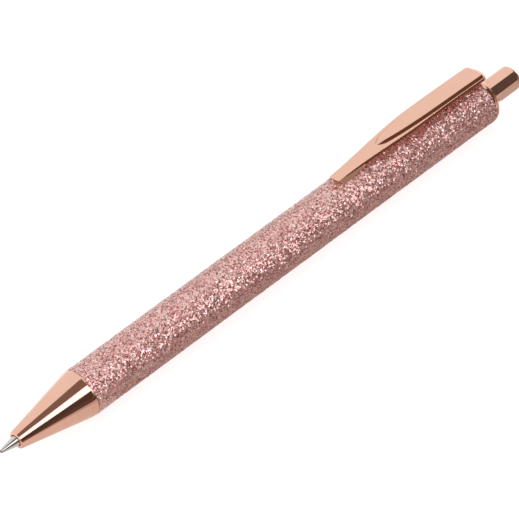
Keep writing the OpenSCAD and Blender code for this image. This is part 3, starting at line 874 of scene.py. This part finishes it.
@dataclass
class SpringClip:
    """The plated clip: an arched sheet with a raised panel and a foot under its tip.

    Sizes are in millimetres, and s is a distance behind the tip.
    """

    rear_u: float = 131.6
    length: float = 40.9
    sheet: float = 0.7
    width: float = 5.9
    tip_width: float = 2.8
    wide_at: float = 23.0
    rear_radius: float = 7.0
    corner: float = 0.8
    tip_corner: float = 0.25
    # The arch: its highest point above the axis, how far it rises from the tip, and where it is highest.
    top_h: float = 7.07
    rise: float = 1.02
    top_at: float = 26.5
    # The panel: where it lies, how its nose widens and climbs, and how its rear end is rounded.
    panel_from: float = 12.0
    panel_end: float = 0.4
    panel_w: float = 4.6
    panel_h: float = 0.54
    panel_nose: float = 24.0
    panel_lead: float = 2.0
    panel_blunt: float = 1.8
    panel_ramp: float = 2.4
    panel_fade: float = 0.9
    panel_corner: float = 1.2
    crease: float = 0.03
    ledge_least: float = 0.02
    # The sheet's rounded edge, which is at most a share of its half width.
    edge: float = 0.06
    edge_share: float = 0.2
    # How far the tip's end face leans in below, and over what length the lean runs out.
    tip_under: float = 0.5
    tip_run: float = 1.0
    # The foot: its length, where it is full, how deep the sheet's edge stays, its slope and its sole.
    foot_len: float = 8.0
    foot_full: float = 2.5
    foot_edge: float = 0.4
    foot_flare: float = 0.435
    foot_r: float = 5.25
    tab_w: float = 2.4
    tab_u: tuple[float, float] = (130.27, 130.97)
    tab_foot_r: float = 4.4
    tab_root: float = 0.4
    # Steps along the clip, with finer ones at the tip, on the panel's nose and over the last stretch.
    stations: int = 150
    tip_steps: int = 16
    fine_steps: int = 40
    rear_run: float = 2.2
    rear_short: float = 1e-4
    # Steps across its flat stretches and over its creases.
    flat_steps: int = 4
    crease_steps: int = 3
    sharp_deg: float = 6

    def height(self, s: float) -> float:
        """Height of the sheet's upper face above the axis, s behind the tip."""
        radius = (self.top_at ** 2 + self.rise ** 2) / (2 * self.rise)
        return self.top_h - radius + math.sqrt(radius ** 2 - (s - self.top_at) ** 2)

    def half_width(self, s: float) -> float:
        """Finds half the sheet's width, with its corners rounded.

        Args:
            s: Distance behind the tip.

        Returns:
            Half the width there.
        """
        narrow = (self.width - self.tip_width) / 2
        half = self.width / 2 - narrow * (1 + math.cos(math.pi * min(1.0, s / self.wide_at))) / 2
        if s < self.tip_corner:
            cut = self.tip_corner - s
            half -= self.tip_corner - math.sqrt(max(0.0, self.tip_corner ** 2 - cut ** 2))
        # The rear edge is an arc whose corners meet the sides in a smaller one.
        bend = self.rear_radius
        mid = self.length - bend
        reach = bend - self.corner
        at = half - self.corner
        centre = mid + math.sqrt(max(0.0, reach ** 2 - at ** 2))
        join = mid + bend * (centre - mid) / reach
        if s > join:
            return min(half, math.sqrt(max(0.0, bend ** 2 - (s - mid) ** 2)))
        if s > centre:
            return at + math.sqrt(max(0.0, self.corner ** 2 - (s - centre) ** 2))
        return half

    def panel(self, s: float) -> tuple[float, float]:
        """Finds the raised panel.

        Args:
            s: Distance behind the tip.

        Returns:
            Half the width of the panel's top there, and its lift above the sheet.
        """
        run = s - self.panel_from
        length = self.length - self.panel_end - self.panel_from
        if run <= 0 or run >= length:
            return 0.0, 0.0
        half = self.panel_w / 2 * (1 - (1 - min(1.0, (run + self.panel_lead) / self.panel_nose)) ** 3)
        half *= math.sqrt(1 - (1 - min(1.0, run / self.panel_blunt)) ** 2)
        ramp = 1 - (1 - min(1.0, run / self.panel_ramp)) ** 2
        fade = math.sqrt(1 - (1 - min(1.0, (length - run) / self.panel_fade)) ** 2)
        cut = max(0.0, self.panel_corner - (length - run))
        half -= self.panel_corner - math.sqrt(self.panel_corner ** 2 - cut ** 2)
        return half, self.panel_h * min(ramp, fade)

    def foot(self, s: float, half: float) -> tuple[float, float]:
        """Finds the foot under the tip, which flares down to the barrel and runs out behind.

        Args:
            s: Distance behind the tip.
            half: Half the sheet's width there.

        Returns:
            The height at which the foot leaves the sheet's edge, and its depth below that.
        """
        top, flare = self.height(s), self.foot_flare
        edge = min(self.edge, half * self.edge_share)
        plain = top - self.sheet + 2 * edge
        if s >= self.foot_len:
            return plain, edge
        part = min(1.0, (self.foot_len - s) / (self.foot_len - self.foot_full))
        brow = top - self.foot_edge
        # Where the flare meets a circle just outside the barrel.
        lean, span = brow - half * flare, 1 + flare ** 2
        reach = (lean - math.sqrt(lean ** 2 - span * (half ** 2 + brow ** 2 - self.foot_r ** 2))) / span
        return plain + part * (brow - plain), edge + part * (reach - edge)

    def section(self, s: float) -> Profile:
        """Draws the right half of the clip's section, with as many points at every place.

        Args:
            s: Distance behind the tip.

        Returns:
            Points as (across, up), from the underside's middle to the top's middle.
        """
        half, top = self.half_width(s), self.height(s)
        edge = min(self.edge, half * self.edge_share)
        low, steps, bends = top - self.sheet, self.flat_steps, self.crease_steps
        brow, deep = self.foot(s, half)
        out, sole = half + self.foot_flare * (deep - edge), brow - deep - edge
        points = [(out * k / steps, low + (sole - low) * k / steps) for k in range(steps)]
        points += arc(out - edge, sole + edge, edge, -90, 0, 3)
        points.append((half, brow))
        points += arc(half - edge, top - edge, edge, 0, 90, 5)
        shelf = half - edge
        flat, lift = self.panel(s)
        base = min(flat + lift, shelf - self.ledge_least)
        flat = max(0.0, min(flat, base - lift))
        soft = min(self.crease, lift / 3, flat / 2 if flat else 0.0)
        ledge = shelf - base - soft
        points += [(shelf - ledge * k / steps, top) for k in range(1, steps)]
        # The slant from the ledge up to the panel's top has a soft crease at its foot and at its head.
        for k in range(bends + 1):
            y = base + soft - 2 * soft * k / bends
            points.append((y, top + (base + soft - y) ** 2 / (4 * soft) if soft else top))
        for k in range(bends + 1):
            y = flat + soft - 2 * soft * k / bends
            points.append((y, top + lift - (y - flat + soft) ** 2 / (4 * soft) if soft else top + lift))
        last = max(0.0, flat - soft)
        points += [(last * (1 - k / steps), top + lift) for k in range(1, steps + 1)]
        return points

    def build(self, plate: bpy.types.Material) -> None:
        """Builds the clip and its tab.

        Args:
            plate: The clip's plating.
        """
        quarter, fine = math.pi / 2, self.fine_steps
        tip = [self.tip_corner * (1 - math.cos(quarter * k / self.tip_steps)) for k in range(self.tip_steps)]
        rear_from = self.length - self.rear_run
        span = rear_from - self.tip_corner
        body = [self.tip_corner + span * k / self.stations for k in range(self.stations)]
        body += [self.panel_from + self.panel_ramp * (k / fine) ** 2 for k in range(fine + 1)]
        rear = [rear_from + self.rear_run * math.sin(quarter * k / fine) for k in range(fine + 1)]
        # The last section stays just short of the end, where the sheet would have no width.
        rear[-1] = self.length - self.rear_short
        points, loops = [], []
        for s in tip + sorted(body) + rear:
            half = self.section(s)
            loop = half + [(-y, z) for y, z in reversed(half[1:-1])]
            loops.append(range(len(points), len(points) + len(loop)))
            u = self.rear_u - self.length + s
            # The tip's end face leans in below, as a sheared edge does.
            lean = self.tip_under / self.sheet * max(0.0, 1 - s / self.tip_run)
            top = self.height(s)
            points += [(FRONT_X + u + lean * (top - z), -y, AXIS_Z + z) for y, z in loop]
        faces = [list(loops[0]), list(loops[-1])]
        for one, two in zip(loops, loops[1:]):
            faces += strip(one, two)
        sheet = mesh_from("spring_clip", points, faces, self.sharp_deg)
        root = self.height(self.length - self.tab_root) - self.sheet / 2
        tab = box("clip_tab", (FRONT_X + self.tab_u[0], -self.tab_w / 2, AXIS_Z + self.tab_foot_r),
                  (FRONT_X + self.tab_u[1], self.tab_w / 2, AXIS_Z + root))
        finish_piece(sheet, plate, Body.CLIP, Slot.PLATE, "clip")
        finish_piece(tab, plate, Body.CLIP, Slot.PLATE)


@dataclass
class PushButton:
    """The plated push button. Sizes in millimetres."""

    rear_u: float = 140.1
    outer_r: float = 2.75
    round: float = 1.2
    flat_r: float = 0.8
    wall: float = 0.4
    end: float = 1.5
    steps: int = 160

    def build(self, plate: bpy.types.Material) -> None:
        """Builds the button, whose front end lies where the CAD's does.

        Args:
            plate: The button's plating.
        """
        low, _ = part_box("button_cap")
        front_u, bore = low.x / MM - FRONT_X, self.outer_r - self.wall
        outer = [(self.rear_u, 0.0), (self.rear_u, self.flat_r)]
        outer += arc(self.rear_u - self.round, self.outer_r - self.round, self.round, 0, 90, 20)
        inner = [(front_u, self.outer_r), (front_u, bore), (self.rear_u - self.end, bore),
                 (self.rear_u - self.end, 0.0)]
        made = turned("push_button", outer + inner, self.steps)
        finish_piece(made, plate, Body.BUTTON, Slot.PLATE, "button_cap")


@dataclass
class Refill:
    """The refill's turned point, its connector and the spring round it. Sizes in millimetres."""

    lip_u: float = 0.22
    lip_r: float = 0.42
    lip_edge: float = 0.03
    lip_len: float = 0.3
    lip_swell: float = 0.05
    socket_r: float = 0.33
    socket_end_u: float = 0.45
    cone_end_u: float = 4.0
    cone_soft: tuple[float, float] = (0.05, 0.1)
    cone_dip: float = 0.01
    point_r: float = 1.15
    point_end_u: float = 8.0
    point_edge: float = 0.08
    shank_r: float = 0.75
    shank_end_u: float = 12.0
    shank_edge: float = 0.1
    bore_r: float = 0.5
    bore_u: float = 3.0
    channel_r: float = 0.25
    channel_u: float = 0.6
    mould_round: float = 0.12
    seat_gap: float = 0.02
    neck_r: float = 1.4
    flange_u: float = 22.6
    flange_r: float = 3.0
    tube_u: float = 24.0
    plug_r: float = 2.48
    plug_end_u: float = 30.0
    plug_bevel: float = 0.3
    passage_r: float = 0.6
    ball_room_r: float = 1.1
    ball_room_u: float = 27.0
    spring_wire: float = 0.35
    spring_r: float = 1.875
    spring_from_u: float = 9.73
    spring_to_u: float = 22.37
    spring_turns: float = 9.0
    spring_seat: float = 0.4
    spring_sides: int = 12
    steps: int = 96

    def point_profile(self) -> Profile:
        """Draws the point's section: a cone with a rolled lip, a step and a shank.

        Returns:
            Points from the socket outwards and back through the bore.
        """
        lip = [(self.lip_u, self.socket_r), (self.lip_u, self.lip_r - self.lip_edge),
               (self.lip_u + self.lip_edge, self.lip_r),
               (self.lip_u + self.lip_len, self.lip_r + self.lip_swell)]
        cone = [(self.cone_end_u - self.cone_soft[0], self.point_r - self.cone_dip),
                (self.cone_end_u + self.cone_soft[1], self.point_r)]
        step = [(self.point_end_u - self.point_edge, self.point_r),
                (self.point_end_u, self.point_r - self.point_edge), (self.point_end_u, self.shank_r)]
        shank = [(self.shank_end_u - self.shank_edge, self.shank_r),
                 (self.shank_end_u, self.shank_r - self.shank_edge), (self.shank_end_u, self.bore_r)]
        inside = [(self.bore_u, self.bore_r), (self.bore_u, self.channel_r),
                  (self.channel_u, self.channel_r), (self.socket_end_u, self.socket_r + self.lip_edge)]
        return lip + cone + step + shank + inside

    def connector_profile(self) -> Profile:
        """Draws the connector's section, with small mould radii.

        Returns:
            Points from the shank's seat outwards and back through the passage.
        """
        bend, seat = self.mould_round, self.shank_r + self.seat_gap
        outer = [(self.point_end_u, seat), (self.point_end_u, self.neck_r - bend)]
        outer += arc(self.point_end_u + bend, self.neck_r - bend, bend, 180, 90, 4)
        outer += [(self.flange_u, self.neck_r)]
        outer += arc(self.flange_u + bend, self.flange_r - bend, bend, 180, 90, 4)
        outer += [(self.tube_u, self.flange_r), (self.tube_u, self.plug_r),
                  (self.plug_end_u - self.plug_bevel, self.plug_r),
                  (self.plug_end_u, self.plug_r - self.plug_bevel)]
        inner = [(self.plug_end_u, self.ball_room_r), (self.ball_room_u, self.ball_room_r),
                 (self.ball_room_u, self.passage_r), (self.shank_end_u, self.passage_r),
                 (self.shank_end_u, seat)]
        return outer + inner

    def build(self, silver: bpy.types.Material, plastic: bpy.types.Material,
              steel: bpy.types.Material) -> None:
        """Builds the point, the connector and the return spring.

        Args:
            silver: The point's finish.
            plastic: The connector's finish.
            steel: The spring's finish.
        """
        point = turned("turned_point", self.point_profile(), self.steps)
        finish_piece(point, silver, Body.REFILL, Slot.POINT, "refill_point")
        joint = turned("refill_joint", self.connector_profile(), self.steps)
        finish_piece(joint, plastic, Body.REFILL, Slot.PLASTIC, "refill_connector")
        made = as_object("return_coil", bpy.data.meshes.new("return_coil"))
        run_tree(made, coil_tree("return_spring_coil", steel), {
            "Radius": self.spring_r * MM, "Wire": self.spring_wire / 2 * MM,
            "From": (FRONT_X + self.spring_from_u) * MM, "To": (FRONT_X + self.spring_to_u) * MM,
            "Turns": self.spring_turns, "Closed Ends": 1.0, "Sides": self.spring_sides})
        made.data.materials.clear()
        made.data.materials.append(steel)
        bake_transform(made)
        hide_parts("return_spring")
        log.info("%s: %d faces between barrel and refill", made.name, len(made.data.polygons))


# Studio


@dataclass
class Studio:
    """A white table, soft light, dark flags that give the plating its bands, and the camera."""

    tilt_deg: float = 26.5
    roll_deg: float = 48.0
    lean_deg: float = 36.27
    distance: float = 0.997
    focal_px: float = 5060.0
    target_u: float = 68.95
    target_up: float = 0.37
    sensor_mm: float = 36
    # The light that the room gives to matt surfaces, and the table's grey and glow.
    room_light: float = 0.6
    table_grey: float = 0.5
    table_glow: float = 0.76
    # Half the table's width, its thickness, and how far it and the mats lie from z = 0, in millimetres.
    table_half: float = 3000
    table_thick: float = 20
    table_drop: float = 0.05
    mat_lift: float = 0.2
    # Front and rear ends of the large cards along X, in metres.
    front_reach: tuple[float, float] = (-0.5, 0.09)
    rear_reach: tuple[float, float] = (0.09, 1.2)
    card_steps: int = 24
    # The mats under the nose: where the first one ends, how long the others are, and their colours.
    nose_mat_x: float = -56
    nose_mat_len: float = 3
    nose_mats: tuple[str, ...] = ("EAE1E1", "E7DEDC", "E3DAD7", "E0D6D2", "DCD2CC")

    def camera(self) -> None:
        """Sets the camera to the photograph's view."""
        tilt, roll, lean = (math.radians(a) for a in (self.tilt_deg, self.roll_deg, self.lean_deg))
        side = Vector((0, -math.sin(roll), math.cos(roll)))
        back = Vector((-math.sin(tilt), 0, 0)) + math.cos(tilt) * side
        along = (Vector((1, 0, 0)) - back * back.x).normalized()
        across = back.cross(along)
        right = math.cos(lean) * along - math.sin(lean) * across
        up = math.sin(lean) * along + math.cos(lean) * across
        target = Vector(((FRONT_X + self.target_u) * MM, 0, AXIS_Z * MM))
        target += across * self.target_up * MM
        lens = bpy.data.cameras.new("camera")
        lens.sensor_width = self.sensor_mm
        lens.lens = self.focal_px / IMAGE_PX * lens.sensor_width
        lens.clip_start, lens.clip_end = 0.01, 50
        made = bpy.data.objects.new("camera", lens)
        turn = Matrix((right, up, back)).transposed().to_4x4()
        made.matrix_world = Matrix.Translation(target + back * self.distance) @ turn
        bpy.context.scene.collection.objects.link(made)
        bpy.context.scene.camera = made

    def world(self) -> None:
        """Makes the room white to the camera and in reflections."""
        scene_world = bpy.data.worlds.new("white_room")
        bpy.context.scene.world = scene_world
        scene_world.use_nodes = True
        tree = scene_world.node_tree
        tree.nodes.clear()
        seen = self.seen(tree)
        level = add(tree, "ShaderNodeMapRange", {"Value": seen, "To Min": self.room_light, "To Max": 1.0})
        light = add(tree, "ShaderNodeBackground", {"Color": (1, 1, 1, 1), "Strength": level.outputs[0]})
        add(tree, "ShaderNodeOutputWorld", {"Surface": light.outputs[0]})

    def seen(self, tree: bpy.types.NodeTree) -> bpy.types.NodeSocket:
        """Tells what the camera sees, directly, in metal or through glass, from what only gets light.

        Args:
            tree: The tree that gets the nodes.

        Returns:
            A socket that is 1 for what is seen, or else 0.
        """
        path = add(tree, "ShaderNodeLightPath")
        seen = add(tree, "ShaderNodeMath", {
            0: path.outputs["Is Camera Ray"], 1: path.outputs["Is Glossy Ray"]}, operation="MAXIMUM")
        seen = add(tree, "ShaderNodeMath", {
            0: seen.outputs[0], 1: path.outputs["Is Transmission Ray"]}, operation="MAXIMUM")
        return seen.outputs[0]

    def floor(self) -> None:
        """Lays a white table under the pen that keeps its shadow."""
        half, grey = self.table_half, self.table_grey
        made = box("table", (-half, -half, -self.table_thick), (half, half, -self.table_drop))
        material, tree = blank_material("white_table")
        matt = add(tree, "ShaderNodeBsdfDiffuse", {"Color": (grey, grey, grey, 1)})
        lift = add(tree, "ShaderNodeMath", {0: self.seen(tree), 1: self.table_glow}, operation="MULTIPLY")
        glow = add(tree, "ShaderNodeEmission", {"Color": (1, 1, 1, 1), "Strength": lift.outputs[0]})
        both = add(tree, "ShaderNodeAddShader", {0: matt.outputs[0], 1: glow.outputs[0]})
        add(tree, "ShaderNodeOutputMaterial", {"Surface": both.outputs[0]})
        made.data.materials.append(material)

    def lamp(self, name: str, place: Point, size: float, watts: float) -> None:
        """Hangs a square soft light that looks at the pen and doesn't show in the plating.

        Args:
            name: The lamp's name.
            place: Where it hangs, in metres.
            size: Its width in metres.
            watts: Its power.
        """
        light = bpy.data.lights.new(name, "AREA")
        light.size, light.energy = size, watts
        made = bpy.data.objects.new(name, light)
        made.location = place
        made.rotation_mode = "QUATERNION"
        made.rotation_quaternion = Vector(place).to_track_quat("Z", "Y")
        made.visible_glossy = False
        bpy.context.scene.collection.objects.link(made)

    def card(self, name: str, code: str, reach: tuple[float, float], rise: tuple[float, float],
             radius: float = 0.4, strength: float = 1.0) -> None:
        """Hangs a card, curved about the pen's axis, that shows only in reflections.

        Args:
            name: The card's name.
            code: Its colour as sRGB hex.
            reach: Its front and rear end along X, in metres.
            rise: Its two edges, as angles above the table on the camera's side.
            radius: Its distance from the axis in metres.
            strength: How bright it is.
        """
        steps = self.card_steps
        turn = [math.radians(rise[0] + (rise[1] - rise[0]) * k / steps) for k in range(steps + 1)]
        far = radius / MM
        points = [(x / MM, -far * math.cos(a), AXIS_Z + far * math.sin(a)) for x in reach for a in turn]
        faces = [[k, k + 1, steps + 2 + k, steps + 1 + k] for k in range(steps)]
        self.reflection_only(mesh_from(name, points, faces, None), code, strength)

    def mat(self, name: str, code: str, reach: tuple[float, float], across: tuple[float, float],
            height: float = 0.1) -> None:
        """Lays a mat, or stands a flag, on the table that shows only in reflections.

        Args:
            name: The mat's name.
            code: Its colour as sRGB hex.
            reach: Its front and rear end along X, in millimetres.
            across: Its far and near edge along Y, in millimetres.
            height: How far it stands up, in millimetres.
        """
        low, high = self.mat_lift, self.mat_lift + height
        made = box(name, (reach[0], across[0], low), (reach[1], across[1], high))
        self.reflection_only(made, code, 1.0)

    def reflection_only(self, made: bpy.types.Object, code: str, strength: float) -> None:
        """Makes a card or a mat show in reflections alone.

        Args:
            made: The card.
            code: Its colour as sRGB hex.
            strength: How bright it is.
        """
        material, tree = blank_material(made.name)
        glow = add(tree, "ShaderNodeEmission", {"Color": linear(code), "Strength": strength})
        add(tree, "ShaderNodeOutputMaterial", {"Surface": glow.outputs[0]})
        made.data.materials.append(material)
        made.visible_camera = made.visible_diffuse = made.visible_shadow = False
        made.visible_transmission = False

    def build(self) -> None:
        """Sets up the whole studio."""
        bpy.context.scene.view_settings.view_transform = "Standard"
        self.camera()
        self.world()
        self.floor()
        self.lamp("top_softbox", (0.15, 0.25, 1.2), 1.0, 4.2)
        self.lamp("fill_softbox", (0.1, -0.9, 0.4), 0.8, 2.2)
        # In front, a white strip light between two dark cards gives the nose its bands.
        self.card("upper_card", "86756E", self.front_reach, (52, 90))
        self.card("strip_light", "E9ECFF", self.front_reach, (25, 52), strength=2.5)
        self.card("lower_card", "52463C", self.front_reach, (-1, 25))
        # Behind, a grey card with a white strip lights the glitter.
        self.card("rear_card", "A89C93", self.rear_reach, (0, 67))
        self.card("rear_strip", "FFFFFF", self.rear_reach, (12, 40), 0.38, strength=2.0)
        # Close to the pen, small cards give the far side, the button and the clip's slants their tones.
        self.card("far_card", "C6B9B5", (-0.012, 0.085), (144, 180), 0.07)
        self.card("button_card", "5C5451", (0.0755, 0.3), (0, 67), 0.03)
        self.card("crease_card", "6A4C3A", (-0.005, 0.1), (43, 60), 0.06)
        # Mats on the table darken the lower side of the nose, step by step, and of the barrel.
        self.mat("front_mat_far", "624F45", (-400, -5), (-400, -21))
        self.mat("front_mat_mid", "C8BBB4", (-400, -5), (-21, -14))
        front = -400.0
        for k, code in enumerate(self.nose_mats):
            rear = self.nose_mat_x + self.nose_mat_len * k
            self.mat(f"nose_mat_{k}", code, (front, rear), (-14, 5))
            front = rear
        self.mat("barrel_mat", "B4A29C", (-44, 66), (-14, -3))
        self.mat("rear_mat", "6B4D3F", (-5, 400), (-400, -26))
        self.mat("rear_mat_near", "6B4D3F", (-5, 71), (-26, -14))
        # Round the button, two pale mats keep its lower side light, and brown ones tone the end cap.
        self.mat("button_mat_far", "CCC8C7", (71, 130), (-26, -12))
        self.mat("button_mat_near", "CCC8C7", (66, 75), (-12, 5))
        self.mat("cap_mat", "8A6450", (75, 130), (-12, 5))
        self.mat("end_flag", "6A4C3A", (130, 131), (-50, 5), 50)


# The pen


def main() -> None:
    """Builds and dresses the pen, piece by piece, and sets up the studio."""
    # Vacuum-plated rose gold on polished brass: a clean peach mirror.
    plate = PlatedMetal("rose_gold_on_polished_brass", "EEBEA8").build()
    # Drawn brass: a satin yellow metal, a little darker in patches.
    brass = PlatedMetal("drawn_brass", "D9B56A", roughness=0.25, tarnish=0.15).build()
    # Foil glitter: pink and champagne sparkles a third of a millimetre wide, with a few dark red ones.
    glitter = GlitterFoil("pink_foil_glitter", flake_mm=0.36, tilt=0.8, roughness=0.16, metal=0.68, tones=(
        (0.0, "EDBDB4"), (0.33, "E3A6A2"), (0.57, "F8E2DA"), (0.75, "C98480"), (0.87, "9A4E4B"),
        (0.955, "A8323F"))).build()
    # Moulded acetal: a soft, even sheen, left white or dyed blue.
    white = MouldedPlastic("moulded_white_acetal", "EDEBE4").build()
    blue = MouldedPlastic("moulded_blue_acetal", "34588F").build()
    # Extruded polypropylene: a clear, glossy wall.
    tube = MouldedPlastic("extruded_clear_polypropylene", "F2F4F5", 0.12, clear=0.85, ior=1.49).build()
    # Gel ink and the grease behind it: a black wet gloss, and a clear yellowish one.
    ink = MouldedPlastic("black_gel_ink", "15151C", 0.15, grain_mm=0.6, cloud_mm=4.0).build()
    grease = MouldedPlastic("clear_follower_grease", "EFE6B8", 0.1, grain_mm=0.8, cloud_mm=2.0,
                            clear=0.6, ior=1.46).build()
    # Turned nickel silver, ground carbide and drawn spring steel: bright greys with fine rings.
    silver = TurnedMetal("turned_nickel_silver", "D9D6CE", 0.16).build()
    carbide = TurnedMetal("ground_tungsten_carbide", "8C8C8E", 0.25, ring_mm=0.05, depth_mm=0.001).build()
    steel = TurnedMetal("drawn_spring_steel", "C9CBCD", 0.22, ring_mm=0.06, depth_mm=0.001).build()

    Nose().build(plate)
    Barrel().build(glitter)
    EndCap().build(plate)
    SpringClip().build(plate)
    PushButton().build(plate)
    Refill().build(silver, white, steel)
    for node, material in (
            ("barrel_tube", brass), ("front_bush", brass), ("cam_housing", white), ("rotor", blue),
            ("button_stem", white), ("ink_tube", tube), ("end_plug", white), ("gel_ink", ink),
            ("ink_follower", grease), ("point_spring", steel), ("writing_ball", carbide),
            ("check_ball", carbide)):
        dress(node, material)
    Studio().build()


if __name__ == "__main__":
    main()
